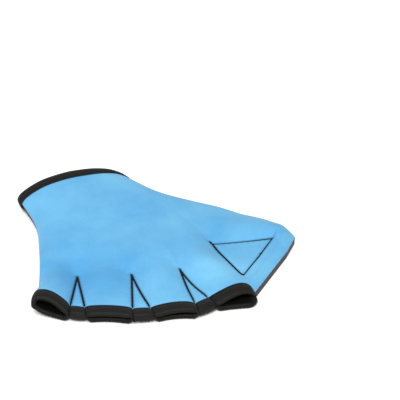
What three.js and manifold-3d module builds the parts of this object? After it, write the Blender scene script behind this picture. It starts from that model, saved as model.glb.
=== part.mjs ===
// Webbed swim glove, a right hand, lying palm down with its fingers towards -Y and its thumb at +X.
// Millimetres, +Z up. Back and palm are two neoprene panels sewn together along the sides, along
// three V-shaped webs and round a triangle between thumb and index. Tape binds the open edges.
import * as THREE from 'three';
import { mergeVertices } from 'three/addons/utils/BufferGeometryUtils.js';
import Module from 'manifold-3d';

const wasm = await Module();
wasm.setup();

const mix = (a, b, t) => a + (b - a) * t;

// Driving dimensions
const gloveLength = 195; // wrist hem to the middle finger's opening
const wristWidth = 84.5; // across the wrist
const handWidth = 140; // across the four finger openings
const thumbReach = 56; // how far the thumb's corner stands out past the index finger
const wristHeight = 24; // top of the wrist's arch
const handHeight = 16; // top of the hand's arch
const thumbHeight = 11; // top of the closed thumb pocket
const wristSideHeight = 9.5; // where back and palm meet beside the wrist
const sideHeight = 5.6; // where they meet along the other sides
const webHeight = 4.9; // where they are sewn together at the webs
const clothThickness = 2.2;
const boundThickness = 1.5; // cloth squeezed under the binding
const tapeThickness = 0.9;
const bindingDepth = 8; // how far the tape reaches over the edge
const gap = 0.3; // clearance between neighbouring pieces
const restClearance = 0.2; // how far the tapes stay above the ground that the palm lies on
const palmRounding = 6; // radius of the palm's rounded edge
const sinkWidth = 9; // how far the palm rises on each side of a seam
const leastRise = 0.2; // of a seam above the side's height
const leastHollow = 0.3; // between the inner tapes, where the layers meet
const pinkyMouthHeight = 15.5;
const ringMouthHeight = 10.2;
const middleMouthHeight = 10.8;
const indexMouthHeight = 12.8;

const tapeOver = gap + tapeThickness;
const wristCrest = wristHeight - tapeOver;
const forearmSide = mix(sideHeight, wristSideHeight, 0.4);

// Sections from the wrist hem (0) to the front edge (1). "spread" goes from the wrist's width to the
// hand's. Crest heights are shares of "tall", the fullness is the arch's superellipse power, and the
// skew moves the crest towards the pinky side.
const sections = [
  { at: 0.0, spread: 0.0, crest: 1.0, tall: wristCrest, side: wristSideHeight, full: 2.2, skew: 1.18 },
  { at: 0.12, spread: 0.1, crest: 0.95, tall: wristCrest, side: forearmSide, full: 2.2, skew: 1.0 },
  { at: 0.25, spread: 0.25, crest: 0.86, tall: wristCrest, side: sideHeight, full: 2.2, skew: 0.92 },
  { at: 0.5, spread: 0.6, crest: 1.0, tall: handHeight, side: sideHeight, full: 2.3, skew: 0.78 },
  { at: 0.75, spread: 1.0, crest: 0.92, tall: handHeight, side: sideHeight, full: 2.5, skew: 0.74 },
  { at: 1.0, spread: 1.0, crest: 0.8, tall: handHeight, side: sideHeight, full: 2.5, skew: 0.74 },
];

// Lines that run from the hem to the front. Each stem has a point at the hem, the waist, the hand and
// its apex, then a straight leg. "across" is a share of the local width, "out" of the thumb's reach,
// "along" of the glove's length.
const stemAt = [0, 0.25, 0.5];
const lines = {
  pinkySide: {
    apex: 0.75,
    stem: [
      { across: -0.485, out: 0, along: 0.479 },
      { across: -0.393, out: 0, along: 0.282 },
      { across: -0.378, out: 0, along: 0.077 },
      { across: -0.39, out: 0, along: -0.144 },
    ],
    foot: { across: -0.464, out: 0, along: -0.286 },
  },
  thumbSide: {
    apex: 0.8,
    stem: [
      { across: 0.515, out: 0, along: 0.487 },
      { across: 0.651, out: 0, along: 0.328 },
      { across: 0.653, out: 0.43, along: 0.159 },
      { across: 0.55, out: 0.945, along: 0.01 },
    ],
    foot: { across: 0.55, out: 1, along: -0.138 },
  },
};
const webs = [
  {
    name: 'web_binding_1',
    apex: 0.7,
    stem: [
      { across: -0.249, out: 0, along: 0.5 },
      { across: -0.219, out: 0, along: 0.287 },
      { across: -0.204, out: 0, along: 0.072 },
      { across: -0.203, out: 0, along: -0.143 },
    ],
    feet: [{ across: -0.321, out: 0, along: -0.364 }, { across: -0.247, out: 0, along: -0.392 }],
  },
  {
    name: 'web_binding_2',
    apex: 0.72,
    stem: [
      { across: 0.012, out: 0, along: 0.508 },
      { across: 0.03, out: 0, along: 0.292 },
      { across: 0.051, out: 0, along: 0.062 },
      { across: 0.051, out: 0, along: -0.204 },
    ],
    feet: [{ across: -0.051, out: 0, along: -0.465 }, { across: 0.047, out: 0, along: -0.482 }],
  },
  {
    name: 'web_binding_3',
    apex: 0.74,
    stem: [
      { across: 0.225, out: 0, along: 0.505 },
      { across: 0.254, out: 0, along: 0.303 },
      { across: 0.28, out: 0, along: 0.072 },
      { across: 0.286, out: 0, along: -0.232 },
    ],
    feet: [{ across: 0.246, out: 0, along: -0.5 }, { across: 0.345, out: 0, along: -0.492 }],
  },
];
// The sewn triangle: its stem ends at the corner nearest the wrist, and its two legs end on its
// baseline, at the index side and at the thumb side. Past the baseline they run on to the web edge.
const triangle = {
  apex: 0.62,
  base: 0.87,
  stem: [
    { across: 0.379, out: 0, along: 0.5 },
    { across: 0.447, out: 0, along: 0.318 },
    { across: 0.518, out: 0, along: 0.128 },
    { across: 0.56, out: 0, along: -0.066 },
  ],
  corners: [{ across: 0.554, out: 0, along: -0.346 }, { across: 0.55, out: 0.72, along: -0.13 }],
  feet: [{ across: 0.562, out: 0, along: -0.458 }, { across: 0.55, out: 0.77, along: -0.226 }],
};

// The five pockets between the seams. "knuckle" is the tube's top where its seams begin, as a share
// of "tall", and the recesses are how far each lip's middle is cut back, as shares of the length.
const pockets = {
  pinky: { mouth: pinkyMouthHeight, knuckle: 0.94, tall: handHeight, backShare: 0.02, palmShare: 0.002 },
  ring: { mouth: ringMouthHeight, knuckle: 0.86, tall: handHeight, backShare: 0.004, palmShare: 0.014 },
  middle: { mouth: middleMouthHeight, knuckle: 0.86, tall: handHeight, backShare: 0.005, palmShare: 0.016 },
  index: { mouth: indexMouthHeight, knuckle: 0.78, tall: handHeight, backShare: 0.006, palmShare: 0 },
  thumb: { mouth: thumbHeight, knuckle: 1.0, tall: thumbHeight, backShare: 0, palmShare: 0 },
};
const stripShare = 0.88; // top of the puffed strip past the triangle, as a share of the thumb's
const trianglePuff = 0.8; // how far the triangle's middle stands above its seam
const seamFade = 0.1; // how far before its apex a seam's valley begins, as a share of the way
const lip = 0.04; // share of the way that the binding covers at the front
const hemLip = 0.05; // and at the hem
const noseReach = 1.2; // how far the tape reaches past the cloth's edge, as a share of its height over it
const squeeze = [1.6, 1.1]; // tape depths from the edge over which the cloth is squeezed down
const legZone = 1.5; // tape depths from the edge where the rows run with the tape
const recessFrom = 0.6; // where a lip's recess begins
const mouthFrom = 0.7; // where a tube starts to take its mouth's height
const pinkyApex = 0.72; // where the pinky's tube begins at the side
const cornerFade = 0.05; // share of a segment over which the tape's squeeze ends beside the web edge

// Colours and finishes
const neopreneBlue = new THREE.MeshStandardMaterial({ color: '#6fbdf0', roughness: 0.85, metalness: 0 });
const neopreneCharcoal = new THREE.MeshStandardMaterial({ color: '#2b2826', roughness: 0.9, metalness: 0 });
const tapeBlack = new THREE.MeshStandardMaterial({ color: '#1d1b1b', roughness: 0.8, metalness: 0 });

const clamp = (x) => Math.min(1, Math.max(0, x));
const ease = (from, to, x) => {
  const t = clamp((x - from) / (to - from));
  return t * t * (3 - 2 * t);
};

// Smooth curve through rows of numbers
function through(knots, values, x) {
  let i = 0;
  while (i < knots.length - 2 && x > knots[i + 1]) i += 1;
  const slope = (k) => {
    const before = Math.max(0, k - 1);
    const after = Math.min(knots.length - 1, k + 1);
    return (values[after] - values[before]) / (knots[after] - knots[before]);
  };
  const span = knots[i + 1] - knots[i];
  const t = clamp((x - knots[i]) / span);
  const t2 = t * t;
  const t3 = t2 * t;
  return (2 * t3 - 3 * t2 + 1) * values[i] + (t3 - 2 * t2 + t) * span * slope(i)
    + (3 * t2 - 2 * t3) * values[i + 1] + (t3 - t2) * span * slope(i + 1);
}

const section = (key, v) => through(sections.map((s) => s.at), sections.map((s) => s[key]), v);
const crestAt = (v) => through(sections.map((s) => s.at), sections.map((s) => s.crest * s.tall), v);

function place(point, v) {
  const width = mix(wristWidth, handWidth, section('spread', v));
  return new THREE.Vector2(point.across * width + point.out * thumbReach, point.along * gloveLength);
}

// Point on a stem, for v up to its apex
function onStem(line, v) {
  const knots = [...stemAt, line.apex];
  const points = line.stem.map((p, i) => place(p, knots[i]));
  return new THREE.Vector2(
    through(knots, points.map((p) => p.x), v),
    through(knots, points.map((p) => p.y), v),
  );
}

// Point on a straight leg: the last stretch is measured back from the front edge, so that the rows
// under the tape lie where the tape does
function onLeg(from, to, start, v) {
  const zone = 1 - legZone * lip;
  const near = legZone * bindingDepth;
  const length = from.distanceTo(to);
  const back = v >= zone ? (bindingDepth * (1 - v)) / lip : mix(length, near, (v - start) / (zone - start));
  return to.clone().lerp(from, back / length);
}

function onSide(line, v) {
  if (v <= line.apex) return onStem(line, v);
  return onLeg(onStem(line, line.apex), place(line.foot, 1), line.apex, v);
}

function onSeam(line, side, v) {
  if (v <= line.apex) return onStem(line, v);
  return onLeg(onStem(line, line.apex), place(line.feet[side], 1), line.apex, v);
}

function onTriangle(side, v) {
  if (v <= triangle.apex) return onStem(triangle, v);
  const corner = place(triangle.corners[side], 1);
  if (v > triangle.base) return onLeg(corner, place(triangle.feet[side], 1), triangle.base, v);
  const share = (v - triangle.apex) / (triangle.base - triangle.apex);
  return onStem(triangle, triangle.apex).lerp(corner, share);
}

// Nine segments across, each between two lines: the pockets, and the webs between them
const boundaries = [
  (v) => onSide(lines.pinkySide, v),
  (v) => onSeam(webs[0], 0, v),
  (v) => onSeam(webs[0], 1, v),
  (v) => onSeam(webs[1], 0, v),
  (v) => onSeam(webs[1], 1, v),
  (v) => onSeam(webs[2], 0, v),
  (v) => onSeam(webs[2], 1, v),
  (v) => onTriangle(0, v),
  (v) => onTriangle(1, v),
  (v) => onSide(lines.thumbSide, v),
];
const segments = [
  { kind: 'pocket', pocket: pockets.pinky },
  { kind: 'web', seam: webs[0] },
  { kind: 'pocket', pocket: pockets.ring },
  { kind: 'web', seam: webs[1] },
  { kind: 'pocket', pocket: pockets.middle },
  { kind: 'web', seam: webs[2] },
  { kind: 'pocket', pocket: pockets.index },
  { kind: 'triangle' },
  { kind: 'pocket', pocket: pockets.thumb },
];
const webCells = segments.flatMap(({ kind }, cell) => (kind === 'web' ? [cell] : []));
const indexCorner = segments.findIndex(({ kind }) => kind === 'triangle'); // the closed web edge begins
const triangleEnd = indexCorner + 1;
const across = segments.length;
const apexes = [pinkyApex, ...webs.flatMap(({ apex }) => [apex, apex]), ...Array(3).fill(triangle.apex)];

const cellOf = (u) => Math.min(across - 1, Math.floor(u));
const apexAt = (u) => mix(apexes[cellOf(u)], apexes[cellOf(u) + 1], u - cellOf(u));
const bump = (t) => 4 * t * (1 - t);

// Plan position of a point of the back (side 'back') or of the palm
function plan(side, u, v) {
  const cell = cellOf(u);
  const t = u - cell;
  const point = boundaries[cell](v).lerp(boundaries[cell + 1](v), t);
  const { pocket } = segments[cell];
  if (pocket) {
    const cut = side === 'back' ? pocket.backShare : pocket.palmShare;
    point.y += cut * gloveLength * bump(t) * ease(recessFrom, 1, v);
  }
  return point;
}

// Cloth thickness, squeezed under the tape
function thickness(u, v) {
  const [far, close] = squeeze;
  const overIndex = ease(indexCorner - cornerFade, indexCorner, u);
  const front = ease(1 - far * lip, 1 - close * lip, v) * (1 - overIndex);
  const hem = 1 - ease(close * hemLip, far * hemLip, v);
  return mix(clothThickness, boundThickness, Math.max(front, hem));
}

const squared = (x) => x * x;
const splitAt = (v) => section('side', v) + gap / 2;
// Heights above the side seam are worked out squared, so that the cloth leaves the sides upright
function seamRise(u, v) {
  return squared(Math.max(leastRise, webHeight + gap / 2 + thickness(u, v) - splitAt(v)));
}

// Squared rise along the triangle's lines: its seam, then the puffed strip that ends at the web edge
function triangleRise(u, v) {
  const w = clamp((v - triangle.base) / (1 - triangle.base));
  const strip = squared(stripShare * thumbHeight - splitAt(v));
  return seamRise(u, v) * (1 - w) + strip * bump(w);
}

function domeAt(pocket, v) {
  const front = pocket.mouth - (pocket === pockets.thumb ? 0 : tapeOver);
  return mix(pocket.knuckle * pocket.tall, front, ease(mouthFrom, 1 - lip, v));
}

// Squared rise of the tubes and webs
function tubeRise(u, v) {
  const cell = cellOf(u);
  const t = u - cell;
  const { kind, pocket } = segments[cell];
  if (kind === 'web') return seamRise(u, v);
  if (kind === 'triangle') {
    const w = clamp((v - triangle.base) / (1 - triangle.base));
    const middle = clamp((v - triangle.apex) / (triangle.base - triangle.apex));
    const puff = trianglePuff * bump(t) * bump(middle);
    return squared(Math.sqrt(triangleRise(u, v)) + puff * (1 - w));
  }
  const dome = squared(Math.max(0, domeAt(pocket, v) - splitAt(v)));
  const onEdge = (line) => line === 0 || line === across;
  const ends = [cell, cell + 1].map((line) => {
    if (onEdge(line)) return 0;
    return line >= indexCorner ? triangleRise(line, v) : seamRise(line, v);
  });
  const past = squared(clamp((v - triangle.base) / (1 - triangle.base)));
  const closing = pocket === pockets.thumb ? 1 - past : 1;
  return mix(ends[0], ends[1], t) + dome * bump(t) * closing;
}

// Squared rise of the hand's arch
function archRise(u, v) {
  const from = plan('back', 0, v);
  const to = plan('back', across, v);
  const here = plan('back', u, v);
  const share = Math.pow(clamp((here.x - from.x) / (to.x - from.x)), section('skew', v));
  const power = section('full', v);
  const arch = Math.pow(Math.max(0, 1 - Math.pow(Math.abs(2 * share - 1), power)), 1 / power);
  return squared((crestAt(v) - splitAt(v)) * arch);
}

function backHeight(u, v) {
  const sewn = ease(apexAt(u) - seamFade, apexAt(u), v);
  return splitAt(v) + Math.sqrt(Math.max(0, mix(archRise(u, v), tubeRise(u, v), sewn)));
}

// How far the palm is lifted: at the seams, under the bound edges and up the rounded sides
function palmHeight(u, v) {
  const here = plan('palm', u, v);
  const fade = ease(apexAt(u) - seamFade, apexAt(u), v);
  const seamLift = webHeight - gap / 2 - thickness(u, v);
  const near = (distance) => squared(1 - clamp(distance / sinkWidth));
  const webLift = webCells.map((cell) => {
    const nearest = Math.min(cell + 1, Math.max(cell, u));
    return near(here.distanceTo(plan('palm', nearest, v)));
  });
  const corner = plan('palm', Math.min(triangleEnd, Math.max(indexCorner, u)), Math.min(v, triangle.base));
  const lift = Math.max(...webLift, near(here.distanceTo(corner))) * fade * seamLift;
  const overIndex = ease(indexCorner - cornerFade, indexCorner, u);
  const tapeRoom = tapeOver + restClearance;
  const front = tapeRoom * ease(1 - 2 * lip, 1 - lip, v) * (1 - overIndex);
  const hem = tapeRoom * (1 - ease(hemLip, 2 * hemLip, v));
  const top = section('side', v) - gap / 2;
  const webEdge = plan('palm', Math.max(indexCorner, u), 1);
  const edges = [plan('palm', 0, v), plan('palm', across, v), webEdge];
  const inset = Math.min(...edges.map((edge) => here.distanceTo(edge))) / mix(palmRounding, top, 0.5);
  const rounding = 1 - Math.sqrt(1 - squared(1 - clamp(inset)));
  const base = Math.max(lift, front, hem);
  return top * (1 - (1 - base / top) * (1 - rounding));
}

function skin(side, u, v) {
  const point = plan(side, u, v);
  return new THREE.Vector3(point.x, point.y, side === 'back' ? backHeight(u, v) : palmHeight(u, v));
}

// Columns across: closer where the cloth turns down to a seam or a side
const seamShare = 0.04; // where the tape of an opening ends beside a seam
const hollowShare = 0.14; // where its hollow begins
const tubeSteps = [0, seamShare, hollowShare, 0.32, 0.5, 0.68, 1 - hollowShare, 1 - seamShare];
const stepsAcross = [
  tubeSteps,
  [0, 0.5],
  tubeSteps,
  [0, 0.5],
  tubeSteps,
  [0, 0.5],
  tubeSteps,
  [0, 0.33, 0.67],
  [0, 0.1, 0.25, 0.45, 0.65, 0.82, 0.93, 0.98],
];
const columns = stepsAcross.flatMap((steps, cell) => steps.map((t) => cell + t)).concat(across);
const frontRows = [1 - lip, 1];
const hemRows = [hemLip, 0];
const backRows = [0, hemLip, 0.11, 0.18, 0.26, 0.34, 0.42, 0.5, 0.56, triangle.apex, 0.66,
  webs[0].apex, webs[1].apex, webs[2].apex, 0.79, 0.83, triangle.base, 0.905, 0.94, ...frontRows];
const palmRows = [0, hemLip, 0.12, 0.25, 0.42, triangle.apex, webs[0].apex, 0.78, triangle.base,
  0.915, 0.94, ...frontRows];

const sheetGrid = (side, us, vs) => vs.map((v) => us.map((u) => skin(side, u, v)));
const keyOf = (p) => [p.x, p.y, p.z].map((x) => Math.round(x * 1000)).join();

// Unit normals of a grid, pointing out of the glove, shared by points that coincide. Along the sides
// and the closed web edge they lie level, so that back and palm meet edge to edge.
function gridNormals(grid, side, us, vs) {
  const sums = new Map();
  const flip = side === 'back' ? -1 : 1;
  const addFace = (a, b, c) => {
    const normal = b.clone().sub(a).cross(c.clone().sub(a)).multiplyScalar(flip);
    for (const p of [a, b, c]) {
      const key = keyOf(p);
      if (!sums.has(key)) sums.set(key, new THREE.Vector3());
      sums.get(key).add(normal);
    }
  };
  for (let r = 0; r + 1 < grid.length; r += 1) {
    for (let c = 0; c + 1 < grid[r].length; c += 1) {
      const [a, b, d, e] = [grid[r][c], grid[r][c + 1], grid[r + 1][c], grid[r + 1][c + 1]];
      addFace(a, b, d);
      addFace(b, e, d);
    }
  }
  const closed = (u, v) => u === 0 || u === across || (v === 1 && u >= indexCorner);
  return grid.map((row, r) => row.map((p, c) => {
    const normal = sums.get(keyOf(p)).clone();
    if (closed(us[c], vs[r])) normal.z = 0;
    return normal.normalize();
  }));
}

// A skin moved along its normals. A positive amount is outwards.
function offsetGrid(grid, normals, amount) {
  return grid.map((row, r) => row.map((p, c) => p.clone().addScaledVector(normals[r][c], amount(r, c))));
}

// The same grid with its border pushed outwards in its own surface
function widened(grid, amount) {
  const last = grid.length - 1;
  const push = (p, inner) => p.clone().add(p.clone().sub(inner).setLength(amount));
  const rows = grid.map((row) => {
    const end = row.length - 1;
    return row.map((p, c) => {
      if (c === 0) return push(p, row[1]);
      return c === end ? push(p, row[end - 1]) : p;
    });
  });
  rows[0] = rows[0].map((p, c) => push(p, rows[1][c]));
  rows[last] = rows[last].map((p, c) => push(p, rows[last - 1][c]));
  return rows;
}

// Closed solid between two grids of the same size
function slab(upper, lower) {
  const rows = upper.length;
  const cols = upper[0].length;
  const positions = [];
  for (const grid of [upper, lower]) {
    grid.flat().forEach((p) => positions.push(p.x, p.y, p.z));
  }
  const at = (sheet, r, c) => sheet * rows * cols + r * cols + c;
  const index = [];
  const quad = (a, b, c, d) => index.push(a, b, c, a, c, d);
  for (let r = 0; r + 1 < rows; r += 1) {
    for (let c = 0; c + 1 < cols; c += 1) {
      quad(at(0, r, c), at(0, r + 1, c), at(0, r + 1, c + 1), at(0, r, c + 1));
      quad(at(1, r, c), at(1, r, c + 1), at(1, r + 1, c + 1), at(1, r + 1, c));
    }
    quad(at(0, r, 0), at(1, r, 0), at(1, r + 1, 0), at(0, r + 1, 0));
    quad(at(0, r, cols - 1), at(0, r + 1, cols - 1), at(1, r + 1, cols - 1), at(1, r, cols - 1));
  }
  for (let c = 0; c + 1 < cols; c += 1) {
    quad(at(0, 0, c), at(0, 0, c + 1), at(1, 0, c + 1), at(1, 0, c));
    quad(at(0, rows - 1, c), at(1, rows - 1, c), at(1, rows - 1, c + 1), at(0, rows - 1, c + 1));
  }
  const geometry = new THREE.BufferGeometry();
  geometry.setAttribute('position', new THREE.Float32BufferAttribute(positions, 3));
  geometry.setIndex(index);
  return tidied(geometry);
}

// Coinciding points become one, and triangles without an area go
function tidied(geometry) {
  const merged = mergeVertices(geometry, 1e-3);
  const source = merged.index.array;
  const kept = [];
  for (let i = 0; i < source.length; i += 3) {
    const [a, b, c] = [source[i], source[i + 1], source[i + 2]];
    if (a !== b && b !== c && c !== a) kept.push(a, b, c);
  }
  merged.setIndex(kept);
  return merged;
}

function toSolid(geometry) {
  const mesh = new wasm.Mesh({
    numProp: 3,
    vertProperties: new Float32Array(geometry.attributes.position.array),
    triVerts: new Uint32Array(geometry.index.array),
  });
  return new wasm.Manifold(mesh);
}

function toGeometry(solid) {
  const mesh = solid.getMesh();
  const geometry = new THREE.BufferGeometry();
  geometry.setAttribute('position', new THREE.BufferAttribute(new Float32Array(mesh.vertProperties), 3));
  geometry.setIndex(new THREE.BufferAttribute(new Uint32Array(mesh.triVerts), 1));
  return geometry;
}

// One panel of cloth, with its outer and inner skins
function panelSkins(side, rows) {
  const outer = sheetGrid(side, columns, rows);
  const normals = gridNormals(outer, side, columns, rows);
  const inner = offsetGrid(outer, normals, (r, c) => -thickness(columns[c], rows[r]));
  return { side, rows, outer, inner, normals };
}

const stacked = ({ side }, outer, inner) => (side === 'back' ? slab(outer, inner) : slab(inner, outer));

// The panel with the clearance that its neighbours keep
function grownPanel(panel) {
  const outer = widened(offsetGrid(panel.outer, panel.normals, () => gap), gap);
  const inner = widened(offsetGrid(panel.inner, panel.normals, () => -gap), gap);
  return toSolid(stacked(panel, outer, inner));
}

const edgeOf = (rows) => rows[rows.length - 1];
const mirrored = (past) => past.map(({ ahead, inset }) => ({ ahead, inset: -inset }));

// Part of a panel's skin under the tape, moved out or in by the tape, and carried on past the edge
function tapeSkin(panel, chosen, rows, amount, past) {
  const source = amount > 0 ? panel.outer : panel.inner;
  const moved = offsetGrid(source, panel.normals, () => amount);
  const picked = rows.map((v) => {
    const row = moved[panel.rows.indexOf(v)];
    return chosen.map((c) => row[c]);
  });
  const edge = picked[picked.length - 1];
  const before = picked[picked.length - 2];
  const beyond = past.map(({ ahead, inset }) => edge.map((p, k) => {
    const forward = p.clone().sub(before[k]).setLength(ahead);
    const inward = panel.normals[panel.rows.indexOf(edgeOf(rows))][chosen[k]];
    return p.clone().add(forward).addScaledVector(inward, -inset);
  }));
  const skins = picked.concat(beyond);
  return rows[0] > edgeOf(rows) ? skins.reverse() : skins;
}

// The inner face of the tape, carried on past both of its ends
function boreSkin(panel, chosen) {
  const reach = 3 * tapeOver;
  const skins = tapeSkin(panel, chosen, frontRows, -tapeOver, [{ ahead: reach, inset: 0 }]);
  const deeper = skins[0].map((p, k) => p.clone().add(p.clone().sub(skins[1][k]).setLength(reach)));
  return [deeper, ...skins];
}

// The hollow between the inner tapes: closed up where the two layers meet
function hollow(upper, lower) {
  const raised = upper.map((row, r) => row.map((p, c) => {
    const middle = (p.z + lower[r][c].z) / 2;
    return new THREE.Vector3(p.x, p.y, Math.max(p.z, middle + leastHollow / 2));
  }));
  const lowered = lower.map((row, r) => row.map((p, c) => {
    const middle = (p.z + upper[r][c].z) / 2;
    return new THREE.Vector3(p.x, p.y, Math.min(p.z, middle - leastHollow / 2));
  }));
  return toSolid(slab(raised, lowered));
}

// The largest body of a solid, without the crumbs of a cut
function mainBody(solid) {
  const bodies = solid.decompose();
  return bodies.reduce((best, body) => (body.volume() > best.volume() ? body : best));
}

const back = panelSkins('back', backRows);
const palm = panelSkins('palm', palmRows);
const grownBack = grownPanel(back);
const grownPalm = grownPanel(palm);

const indicesBetween = (from, to) => columns.map((u, c) => c)
  .filter((c) => columns[c] >= from && columns[c] <= to);
const roundedEdge = [
  { ahead: tapeOver * 0.55, inset: 0 },
  { ahead: tapeOver * noseReach, inset: tapeOver * 0.5 },
];

// Tape round an open edge: a sleeve over both layers, less the cloth and, where there is an opening,
// less the hollow
function frontBinding(from, to, opening) {
  const chosen = indicesBetween(from, to);
  let solid = toSolid(slab(
    tapeSkin(back, chosen, frontRows, tapeOver, roundedEdge),
    tapeSkin(palm, chosen, frontRows, tapeOver, roundedEdge),
  )).subtract(grownBack).subtract(grownPalm);
  if (opening) {
    const inside = indicesBetween(opening[0], opening[1]);
    solid = solid.subtract(hollow(boreSkin(back, inside), boreSkin(palm, inside)));
  }
  return toGeometry(mainBody(solid));
}

// Closed ring through closed sections
function closedRing(stations) {
  const size = stations[0].length;
  const index = [];
  stations.forEach((station, i) => {
    const next = ((i + 1) % stations.length) * size;
    for (let k = 0; k < size; k += 1) {
      const k2 = (k + 1) % size;
      index.push(i * size + k, next + k, next + k2, i * size + k, next + k2, i * size + k2);
    }
  });
  const geometry = new THREE.BufferGeometry();
  const positions = stations.flat().flatMap((p) => [p.x, p.y, p.z]);
  geometry.setAttribute('position', new THREE.Float32BufferAttribute(positions, 3));
  geometry.setIndex(index);
  return tidied(geometry);
}

// Tape round the hem, folded over the cloth's edge and open inside like a channel
function hemBinding() {
  const sparse = columns.map((u, c) => c).filter((c) => {
    const u = columns[c];
    return u <= 1 || u >= triangleEnd || Number.isInteger(u * 2);
  });
  const shorter = [{ ahead: gap, inset: 0 }];
  const channel = (panel) => {
    const outerFace = tapeSkin(panel, sparse, hemRows, tapeOver, roundedEdge).reverse();
    const innerFace = tapeSkin(panel, sparse, hemRows, -tapeOver, mirrored(roundedEdge)).reverse();
    const innerSlot = tapeSkin(panel, sparse, hemRows, -gap, shorter).reverse();
    const outerSlot = tapeSkin(panel, sparse, hemRows, gap, shorter).reverse();
    const skins = [...outerFace, ...innerFace.reverse(), ...innerSlot, ...outerSlot.reverse()];
    return sparse.map((_, k) => skins.map((skinRow) => skinRow[k]));
  };
  return closedRing([...channel(back), ...channel(palm).reverse()]);
}

const glove = new THREE.Group();
function add(name, geometry, material) {
  const mesh = new THREE.Mesh(geometry, material);
  mesh.name = name;
  glove.add(mesh);
}

add('back_panel', stacked(back, back.outer, back.inner), neopreneBlue);
add('palm_panel', stacked(palm, palm.outer, palm.inner), neopreneCharcoal);
add('wrist_binding', hemBinding(), tapeBlack);
add('pinky_binding', frontBinding(0, 1 - seamShare, [0, 1 - hollowShare]), tapeBlack);
[['ring_binding', 2], ['middle_binding', 4], ['index_binding', 6]].forEach(([name, cell]) => {
  const opening = [cell + hollowShare, cell + 1 - hollowShare];
  add(name, frontBinding(cell + seamShare, cell + 1 - seamShare, opening), tapeBlack);
});
webs.forEach((web, i) => add(web.name, frontBinding(2 * i + 1, 2 * i + 2), tapeBlack));

// The glove rests on its palm, with its origin under the middle of its outline
const bounds = new THREE.Box3().setFromObject(glove);
const middle = bounds.getCenter(new THREE.Vector3());
glove.position.set(-middle.x, -middle.y, -bounds.min.z);

export default glove;
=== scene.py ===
import math
from functools import lru_cache

import bmesh
import bpy
from mathutils import Matrix, Vector, kdtree, noise


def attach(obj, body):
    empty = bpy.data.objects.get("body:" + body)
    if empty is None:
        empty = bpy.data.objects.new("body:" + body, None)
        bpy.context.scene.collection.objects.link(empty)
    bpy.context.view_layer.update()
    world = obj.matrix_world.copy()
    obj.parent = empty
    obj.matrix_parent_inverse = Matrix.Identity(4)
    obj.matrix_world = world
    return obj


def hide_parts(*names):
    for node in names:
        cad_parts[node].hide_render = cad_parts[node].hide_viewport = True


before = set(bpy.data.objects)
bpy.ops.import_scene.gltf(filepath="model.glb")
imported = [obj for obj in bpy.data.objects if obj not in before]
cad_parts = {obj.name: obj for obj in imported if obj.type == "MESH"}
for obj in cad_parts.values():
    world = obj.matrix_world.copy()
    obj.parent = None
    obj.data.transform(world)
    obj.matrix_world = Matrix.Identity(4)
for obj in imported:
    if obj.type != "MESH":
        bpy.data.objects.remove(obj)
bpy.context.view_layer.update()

bl_info = {
    "name": "Webbed swim glove",
    "version": (1, 0, 0),
    "blender": (4, 5, 0),
    "location": "3D View > Sidebar > Glove",
    "description": "Neoprene webbed swim glove with bound edges, stitched webs and a soft studio",
    "category": "Add Mesh",
}

MM = 0.001
BODY = "root"

# Sizes of the glove in millimetres, as its solids have them
GLOVE_LENGTH = 195.0
WRIST_WIDTH = 84.5
HAND_WIDTH = 140.0
THUMB_REACH = 56.0
WRIST_HEIGHT = 24.0
HAND_HEIGHT = 16.0
THUMB_HEIGHT = 11.0
WRIST_SIDE_HEIGHT = 9.5
SIDE_HEIGHT = 5.6
WEB_HEIGHT = 4.9
CLOTH_THICKNESS = 2.2
BOUND_THICKNESS = 1.5
TAPE_THICKNESS = 0.9
BINDING_DEPTH = 8.0
GAP = 0.3
REST_CLEARANCE = 0.2
FLOOR_CLEARANCE = 0.05
PALM_ROUNDING = 6.0
SINK_WIDTH = 9.0
PLAN_ORIGIN = Vector((-33.342, -0.836, 0.0))

TAPE_OVER = GAP + TAPE_THICKNESS
WRIST_CREST = WRIST_HEIGHT - TAPE_OVER
FOREARM_SIDE = SIDE_HEIGHT + (WRIST_SIDE_HEIGHT - SIDE_HEIGHT) * 0.4

# Sections from the wrist hem (0) to the front edge (1)
SECTION_AT = (0.0, 0.12, 0.25, 0.5, 0.75, 1.0)
SECTIONS = {
    "spread": (0.0, 0.1, 0.25, 0.6, 1.0, 1.0),
    "crest": (WRIST_CREST, 0.95 * WRIST_CREST, 0.86 * WRIST_CREST,
              HAND_HEIGHT, 0.92 * HAND_HEIGHT, 0.8 * HAND_HEIGHT),
    "side": (WRIST_SIDE_HEIGHT, FOREARM_SIDE, SIDE_HEIGHT, SIDE_HEIGHT, SIDE_HEIGHT, SIDE_HEIGHT),
    "full": (2.2, 2.5, 2.5, 2.3, 2.5, 2.5),
    "skew": (1.3, 1.3, 1.15, 0.82, 0.74, 0.74),
}

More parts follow.
